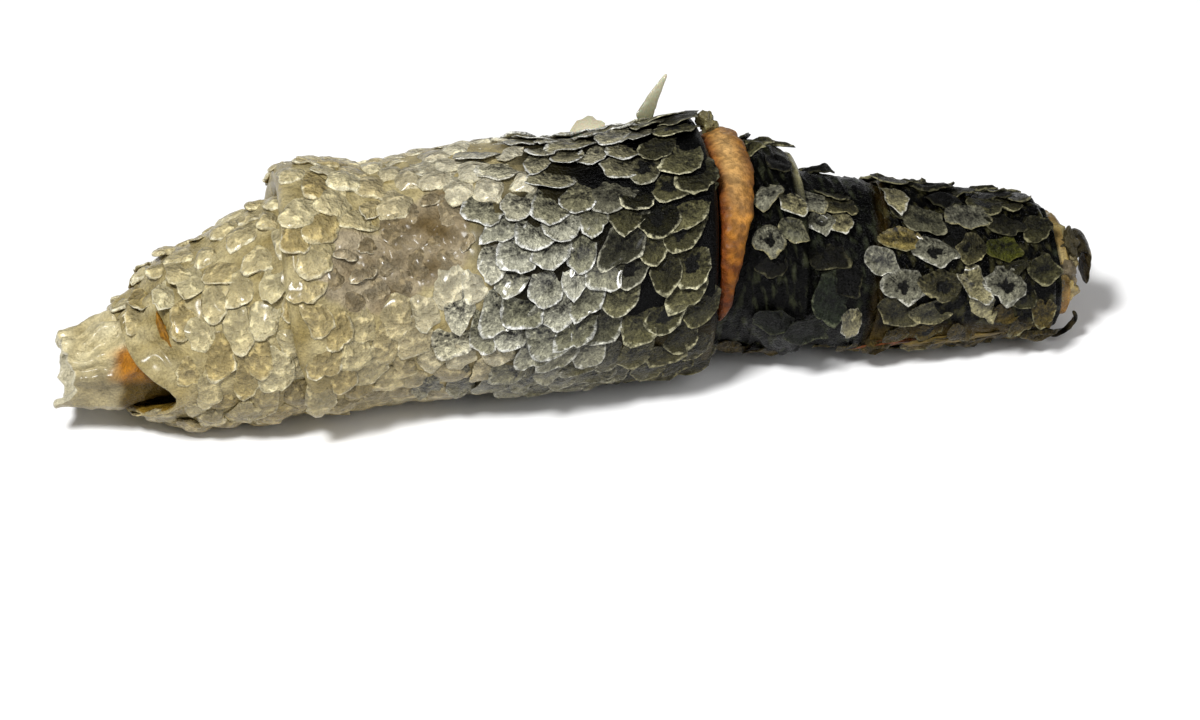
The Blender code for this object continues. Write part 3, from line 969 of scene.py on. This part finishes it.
cream_look = scale_look("belly_scale", 1.0)
cream_piece = scale_piece("belly_scales", cream_scales, scale_plates, cream_look, 1.45, 0.35, 1.0)
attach(cream_piece, "root")
silver_look = scale_look("flank_scale", 0.0)
silver_piece = scale_piece("flank_scales", flank_scales, scale_plates, silver_look, 1.5, 0.35, 2.0)
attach(silver_piece, "root")

# The flesh strip: a sliver of dried amber flesh caught beside the outer wrap's edge. It is lumpy and
# mottled, with a painted highlight on top, and darker along that edge and towards its thin lower end.


def fine_copy(name, node, levels, relief, tint, shift=(0, 0, 0)):
    """A fine smooth copy of a small solid of the frame, worked over, painted and shifted in millimetres."""
    work = bmesh.new()
    work.from_mesh(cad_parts[node].data)
    bmesh.ops.remove_doubles(work, verts=work.verts, dist=0.001 * MM)
    cage = bpy.data.meshes.new(name)
    work.to_mesh(cage)
    work.free()
    host = placed(name + "_cage", cage)
    subdivide = host.modifiers.new("fine", "SUBSURF")
    subdivide.levels = levels
    subdivide.render_levels = levels
    fine = plain_mesh(host)
    spots = [(vert.co.copy(), vert.normal.copy()) for vert in fine.vertices]
    for vert, (spot, normal) in zip(fine.vertices, spots):
        vert.co = spot + normal * relief(spot) + Vector(shift) * MM
        vert.co.z = max(vert.co.z, CLEAR)
    fine.shade_smooth()
    return painted(fine, [tint(spot, normal) for spot, normal in spots])


def angle_of(spot):
    """The direction of a point from the roll's middle."""
    y, z = middle(spot.x)
    return float(np.arctan2(y - spot.y, spot.z - z))


def strip_relief(spot):
    return 0.2 * MM * lumps(spot, 1.2 * MM, 41.0, 2) + 0.6 * MM * lumps(spot, 4 * MM, 42.0, 2)


def strip_tint(spot, normal):
    angle = angle_of(spot)
    side = (spot.x - outer.end(angle) - 1.3 * MM) / (5 * MM)
    shade = blend(ink(104, 58, 8), ink(180, 116, 32), 0.45 + 1.3 * lumps(spot, 1.8 * MM, 43.0, 3))
    # painted highlight: a pale pool on top of the strip
    shade = blend(shade, ink(220, 176, 112), 0.8 * hump(angle, 0, 0.6) * hump(side, 0.55, 0.35))
    shade = blend(shade, ink(104, 36, 6), 0.85 * rise(0.4, 0.0, side))
    return blend(shade, ink(92, 44, 8), 0.8 * rise(radians(35), radians(85), angle))


strip_look = Look("amber_flesh_grain", {"Coat Weight": 0.06, "Coat Roughness": 0.3,
                                        "Specular IOR Level": 0.18})
strip_fibre = strip_look.grain(strip_look.place, 0.9 * MM, 6.0)
strip_speck = strip_look.grain(strip_look.place, 0.2 * MM, 3.0)
strip_shade = 0.42 + 0.44 * strip_look.step(0.35, 0.65, strip_fibre) + 0.24 * strip_speck
strip_look.feed("Base Color", strip_look.scaled(strip_look.attribute("tint", "Color"), strip_shade))
strip_look.feed("Roughness", 0.42 + 0.2 * strip_speck)
strip_look.emboss(strip_fibre * 0.8 + strip_speck * 0.3, 0.6 * MM)
strip_mesh = fine_copy("flesh_strip_grain", "flesh_strip", 3, strip_relief, strip_tint, (-1.3, 0, 0))
strip = show("flesh_strip_grain", strip_mesh, strip_look)
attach(strip, "root")
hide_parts("flesh_strip")

# The shoulder band: a short stretch of black back skin beside the strip. On top it stands up in a stiff
# pale-edged cuff; below it lies close and its creases run round the roll.


def shoulder_relief(x, angle):
    creases = abs(ripples(x, angle, 3, 1.8, 52.0, 2))
    return 0.5 * MM * ripples(x, angle, 13, 5, 51.0, 2) - 0.9 * MM * creases


def shoulder_tint(x, angle, inside):
    """Black with a painted olive sheen in threads, and a pale edge on the cuff."""
    black = blend(ink(1, 1, 1), ink(50, 52, 38), sheen_streaks(x, angle, 53.0))
    cuff = rise(1.6 * MM, 0.4 * MM, shoulder.end(angle) - x) * away(angle, -30, 58, 30)
    return blend(black, ink(156, 150, 110), cuff)


shoulder.relief = shoulder_relief
shoulder_mesh = skin_tube("shoulder_skin", shoulder, lambda x, a: under.radius(x, a) + 0.3 * MM,
                          ((0, 1, 60),), 230, shoulder_tint, 0.5 * MM)
black_look = skin_look("back_skin", 0.14, 0.0, 0.0, 0.07)
shoulder_skin = show("shoulder_skin", shoulder_mesh, black_look)
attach(shoulder_skin, "root")
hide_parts("shoulder_band")

# The tail wrap: the last turns of black skin round the thin end, under large flat scales whose worn
# middles make black-eyed rings.


def tail_relief(x, angle):
    return 0.5 * MM * ripples(x, angle, 11, 5, 61.0, 2) + 0.3 * MM * ripples(x, angle, 11, 1.2, 62.0, 2)


def tail_tint(x, angle, inside):
    """Black with a painted olive sheen in threads, amber underneath, and a brown seam where the wrap
    starts.
    """
    black = blend(ink(2, 2, 1), ink(60, 58, 38), sheen_streaks(x, angle, 63.0))
    black = blend(black, ink(104, 86, 44), 0.6 * away(angle, 0, 96, 118))
    return blend(black, ink(80, 64, 30), 0.3 * hump(x, tail.start(angle), 0.5 * MM))


tail.relief = tail_relief
tail_mesh = skin_tube("tail_skin", tail, lambda x, a: under.radius(x, a) + 0.3 * MM,
                      ((0, 1, 110),), 210, tail_tint, 0.5 * MM)
tail_skin = show("tail_skin", tail_mesh, black_look)
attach(tail_skin, "root")
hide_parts("tail_wrap")


def crater(share, across, down):
    return 0.62 * hump(share, 0.68, 0.2) - 0.25 * rise(0.4, 0.1, share)


def slot_ring(share, across, down):
    return 0.55 * hump(share, 0.62, 0.22) + 0.1 * across


def flat_flake(share, across, down):
    return 0.2 * across * down + 0.2 * rise(0.75, 1.0, share)


def bent_flake(share, across, down):
    return 0.5 * across * across + 0.15 * down


BACK = 11.5
back_plates = [plate(f"back_{k}", BACK, 11.0 + k, *shape) for k, shape in enumerate((
    (3.0, 2.2, 2.2, 0.22, crater, 0.2, -0.2, 1.5),
    (3.1, 1.9, 2.1, 0.22, slot_ring, 0.2, -0.3, 1.4),
    (2.8, 2.0, 2.6, 0.18, flat_flake, 0.26, -0.2, 1.8),
    (2.7, 2.0, 2.6, 0.16, crisp_corner, 0.3, -0.3, 3.4),
    (1.6, 3.4, 2.4, 0.16, bent_flake, 0.3, 0.0, 2.6),
    (2.4, 2.2, 2.6, 0.18, crisp_cup, 0.26, 0.2, 1.7),
))]

SILVER = ink(140, 138, 118)
WHITE = ink(226, 224, 208)
OLIVE = ink(78, 74, 50)
PALE = ink(162, 154, 114)
STRAW = ink(146, 130, 76)
# layer, place in mm, side in degrees, plate, middle, rim, lean, tilt, worn, width, length
MARKED = (
    (tail, 41.0, 53, 2, SILVER, WHITE, 20, 8, 0, 0.9, 0.9),
    (tail, 44.1, 38, 2, STRAW, PALE, 8, 10, 0, 1.15, 0.8),
    (tail, 48.3, 47, 1, SILVER, WHITE, 14, 7, 1, 1.1, 1.0),
    (tail, 43.7, 68, 0, SILVER, WHITE, 6, 6, 1, 1.1, 1.1),
    (tail, 48.9, 69, 0, OLIVE, PALE, 14, 6, 1, 1.05, 1.1),
    (tail, 57.6, 65, 0, SILVER, WHITE, 16, 6, 1, 1.05, 1.1),
    (tail, 53.1, 66, 4, PALE, WHITE, -28, 10, 0, 1.0, 1.0),
    (tail, 57.9, 39, 2, ink(70, 72, 22), ink(104, 102, 52), 0, 4, 0, 0.95, 0.85),
    (tail, 53.4, 44, 5, OLIVE, PALE, 20, 5, 0, 1.0, 1.0),
    (tail, 53.8, 21, 2, ink(124, 122, 104), PALE, 10, 4, 0, 1.3, 0.9),
    (tail, 47.6, 26, 3, ink(96, 94, 74), ink(150, 146, 120), 14, 5, 0.5, 1.1, 0.9),
    (tail, 44.8, 3, 4, PALE, WHITE, 4, 12, 0, 0.9, 1.1),
    (tail, 43.0, 88, 3, OLIVE, PALE, 10, 6, 0, 1.1, 1.0),
    (tail, 47.5, 92, 2, ink(96, 92, 66), PALE, 4, 5, 0, 1.15, 0.9),
    (tail, 54.6, 84, 3, PALE, PALE, 30, 8, 0, 0.9, 0.9),
    (shoulder, 26.6, 24, 5, SILVER, PALE, 10, 6, 0, 0.9, 0.9),
    (under, 33.0, 14, 3, SILVER, PALE, 16, 8, 0, 0.95, 0.9),
    (under, 33.9, 27, 0, SILVER, WHITE, 0, 8, 0.6, 0.7, 0.8),
    (under, 36.6, 28, 5, PALE, WHITE, -14, 10, 0, 0.7, 0.7),
    (under, 37.0, 14, 3, OLIVE, PALE, 12, 8, 0.4, 0.9, 0.8),
    (shoulder, 25.7, 48, 0, SILVER, PALE, 20, 6, 1, 0.85, 0.9),
    (shoulder, 29.2, 41, 2, ink(126, 124, 98), PALE, 16, 5, 0, 0.8, 0.8),
    (shoulder, 29.8, 26, 3, PALE, WHITE, 18, 8, 0, 0.8, 0.8),
    (under, 33.6, 80, 3, ink(40, 46, 34), ink(96, 100, 78), 34, 4, 0, 1.0, 1.3),
    (shoulder, 25.9, 98, 2, ink(26, 29, 21), ink(70, 72, 54), 6, 3, 0, 1.1, 1.0),
    (shoulder, 30.0, 100, 2, ink(26, 29, 21), ink(70, 72, 54), 6, 3, 0, 1.2, 1.0),
    (under, 36.6, 94, 4, PALE, WHITE, 8, 10, 0, 0.9, 0.8),
)
back_scales = [
    Scale(layer, place * MM, radians(side), pick, tint, edge, lean, tilt, 0.3, (wide, long, 1.1), worn)
    for layer, place, side, pick, tint, edge, lean, tilt, worn, wide, long in MARKED]


def free_of_marks(x, angle, gap):
    """Whether a place on the dark end is clear of the scales that are set one by one."""
    return all(((x - mark[1] * MM) / gap)**2 + (turn_from(angle, mark[2]) * 11 * MM / (0.75 * gap))**2 >= 1
               for mark in MARKED)


# the others lie in rows; part of them is lost, most of all on the bald near side of the thin black skin
for layer, first, last, share in ((tail, 39, 64.5, 0.92), (shoulder, 20, 32, 0.5), (under, 32.6, 39, 0.5)):
    for x, angle, chance in rows(layer, first, last, 4.3, 3.3, 9, 0.8):
        bald = 0.45 if layer is not tail and turn_from(angle, 75) < radians(50) else 1.0
        if chance.random() > share * bald or not free_of_marks(x, angle, 2.6 * MM):
            continue
        tone = chance.random() * bald
        tint = blend(ink(8, 8, 5), ink(86, 83, 54), tone**1.4)
        edge = blend(ink(44, 43, 28), ink(182, 176, 134), tone)
        if turn_from(angle, 0) > radians(85):
            tint = blend(tint, ink(112, 94, 44), 0.6)
        size = any_size(chance, (0.65, 1.05), (0.6, 1.0), (0.8, 1.8))
        back_scales.append(Scale(layer, x, angle, chance.choice((2, 3, 3, 5, 5, 1)), tint, edge,
                                 lean_of(angle) + chance.uniform(-24, 24),
                                 chance.uniform(2, 13) * lying(angle), chance.uniform(-0.05, 0.15), size,
                                 float(chance.random() < 0.12)))

back_look = scale_look("back_scale", 0.0)
back_piece = scale_piece("back_scales", back_scales, back_plates, back_look, 1.9, 0.5, 3.0)
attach(back_piece, "root")

# The dark end's trimmings: a flap of skin curled over on itself and a hooked sliver below it, both stiff
# and dark with paler torn edges.


def trim_relief(spot):
    return 0.22 * MM * lumps(spot, 1.6 * MM, 71.0, 2)


def trim_tint(spot, normal):
    dark = blend(ink(22, 20, 14), ink(78, 70, 50), 0.4 + lumps(spot, 1.5 * MM, 72.0, 2))
    torn = rise(0.5, 1.0, normal.x) * rise(-0.2, 0.4, lumps(spot, 2 * MM, 73.0))
    return blend(dark, ink(176, 162, 130), 0.7 * torn)


for node in ("end_curl", "end_hook"):
    trim = show(node + "_skin", fine_copy(node + "_skin", node, 2, trim_relief, trim_tint), black_look)
    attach(trim, "root")
    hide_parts(node)

# Loose scraps: crumbs of skin left where it was torn, one beside the outer wrap's top corner, one under the
# dark part, and the five that make the folded remnant in the curl; and slivers of flesh in the cracks.


def crumbs(name, blobs):
    """Small crumpled bodies as one mesh: layer, place in mm, side in degrees, lift and half sizes in mm,
    twist in degrees, colour and seed of each."""
    work = bmesh.new()
    paint = work.verts.layers.float_color.new("tint")
    for layer, place, side, lift, halves, twist, colour, seed in blobs:
        x, angle = place * MM, radians(side)
        lay = Matrix.Rotation(angle, 3, "X") @ Matrix.Rotation(radians(twist), 3, "Z")
        heart = on_ray(x, angle, layer.surface(x, angle) + lift * MM)
        for vert in bmesh.ops.create_icosphere(work, subdivisions=4, radius=1.0)["verts"]:
            way = vert.co.copy()
            offset = Vector([w * h for w, h in zip(way, halves)]) * (1 + 1.1 * lumps(way, 0.8, seed, 3))
            vert.co = heart + lay @ offset * MM
            vert.co.z = max(vert.co.z, CLEAR)
            vert[paint] = (*[level * (1 + 1.2 * lumps(way, 0.5, seed + 1, 2)) for level in colour], 1)
    mesh = bpy.data.meshes.new(name)
    work.to_mesh(mesh)
    work.free()
    mesh.shade_smooth()
    return mesh


skin_crumbs = show("skin_crumbs", crumbs("skin_crumbs", (
    (outer, 21.9, -30, -0.9, (1.3, 1.0, 1.5), 20, ink(120, 112, 76), 1.0),
    (under, 28.9, 130, 0.2, (1.8, 1.4, 1.2), 0, ink(12, 12, 8), 2.0),
    (tube, 66.6, 62, -1.2, (1.7, 1.9, 1.5), 10, ink(112, 100, 78), 3.0),
    (tube, 67.0, 38, -1.4, (1.9, 2.2, 1.0), -10, ink(150, 136, 98), 4.0),
    (tube, 66.8, 84, -1.0, (1.6, 1.8, 0.7), 0, ink(172, 150, 92), 5.0),
    (tube, 67.0, 12, -1.0, (1.2, 2.0, 0.8), 0, ink(150, 136, 92), 6.0),
    (tube, 67.9, 26, -0.6, (1.3, 1.6, 1.7), 0, ink(66, 60, 42), 7.0),
)), skin_look("crumb_skin", 0.35, 0.3, 0.05, 0.2))
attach(skin_crumbs, "root")
flesh_crumbs = show("flesh_slivers", crumbs("flesh_slivers", (
    (under, -54.6, 39, 0.2, (0.45, 1.9, 0.3), 14, ink(140, 98, 28), 7.0),
    (tail, 42.6, 121, 0.15, (4.2, 0.9, 0.3), 3, ink(104, 56, 16), 8.0),
    (tail, 51.0, 119, 0.10, (5.5, 0.8, 0.3), -2, ink(112, 94, 48), 9.0),
)), strip_look)
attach(flesh_crumbs, "root")

# The fin ray: a thin pale splinter of fin that stands up behind the outer wrap's top. It is horny and
# lets light through.


def ray_relief(spot):
    return 0.12 * MM + 0.08 * MM * lumps(spot, 0.8 * MM, 81.0, 2)


def ray_tint(spot, normal):
    low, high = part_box("fin_ray")
    return blend(ink(96, 94, 66), ink(196, 194, 164), (spot.z - low.z) / (high.z - low.z))


ray_look = Look("fin_horn", {"Roughness": 0.35, "Coat Weight": 0.3, "Subsurface Weight": 0.3,
                             "Subsurface Scale": 1.0 * MM})
ray_streak = ray_look.grain(ray_look.place, 0.4 * MM, 3.0, (2.0, 2.0, 0.4))
ray_look.feed("Base Color", ray_look.scaled(ray_look.attribute("tint", "Color"), 0.75 + 0.4 * ray_streak))
ray_look.feed("Alpha", 0.82 + 0.3 * ray_streak)
ray_look.emboss(ray_streak, 0.1 * MM)
ray_mesh = fine_copy("fin_ray_horn", "fin_ray", 2, ray_relief, ray_tint, (1.1, 0, 0))
ray = show("fin_ray_horn", ray_mesh, ray_look)
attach(ray, "root")
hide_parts("fin_ray")

# A loose scale stands on edge on the outer wrap's top. It is thin and nearly clear, and only its rim shows.

upright = Scale(outer, 5.4 * MM, radians(-32), 1, ink(186, 180, 152), ink(230, 226, 206), 10, -70, 0.2,
                (0.85, 0.5, 1.8))
loose = scale_piece("loose_scale", [upright], scale_plates, ray_look, 0.6, 0.4, 4.0)
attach(loose, "root")

# The table, the light and the camera: a plain white floor, a strong small lamp above the near left, a weak
# broad one above the near right, and a long lens that looks down on the roll from a little to the left.

FLOOR = 2.0
floor_mesh = bpy.data.meshes.new("floor")
floor_mesh.from_pydata([(-FLOOR, -FLOOR, 0), (FLOOR, -FLOOR, 0), (FLOOR, FLOOR, 0), (-FLOOR, FLOOR, 0)],
                       [], [(0, 1, 2, 3)])
floor_look = Look("floor_white", {"Base Color": (0.93, 0.93, 0.93, 1), "Roughness": 0.9,
                                  "Specular IOR Level": 0.0})
show("floor", floor_mesh, floor_look)

world = bpy.data.worlds.new("studio")
bpy.context.scene.world = world
world.use_nodes = True
background = world.node_tree.nodes["Background"]
background.inputs["Color"].default_value = (1, 1, 1, 1)
background.inputs["Strength"].default_value = 0.15


def lamp(name, spot, width, power):
    """A square soft light that faces the roll."""
    data = bpy.data.lights.new(name, "AREA")
    data.size = width
    data.energy = power
    light = placed(name, data)
    light.location = spot
    light.rotation_euler = (-Vector(spot)).to_track_quat("-Z", "Y").to_euler()


lamp("key", (-0.27, -0.31, 0.71), 0.14, 7.4)
lamp("fill", (0.25, -0.45, 0.60), 0.5, 1.7)

AZIMUTH = radians(12.08)
HEIGHT = radians(40)
DISTANCE = 0.682
forward = Vector((sin(AZIMUTH) * cos(HEIGHT), cos(AZIMUTH) * cos(HEIGHT), -sin(HEIGHT)))
target = Vector((0.00534, -0.00016, -0.0023))
camera = placed("camera", bpy.data.cameras.new("camera"))
camera.data.lens = 150
camera.data.sensor_width = 36
camera.data.clip_start = 0.01
camera.location = target - forward * DISTANCE
camera.rotation_euler = forward.to_track_quat("-Z", "Y").to_euler()
bpy.context.scene.camera = camera
bpy.context.scene.view_settings.view_transform = "Standard"
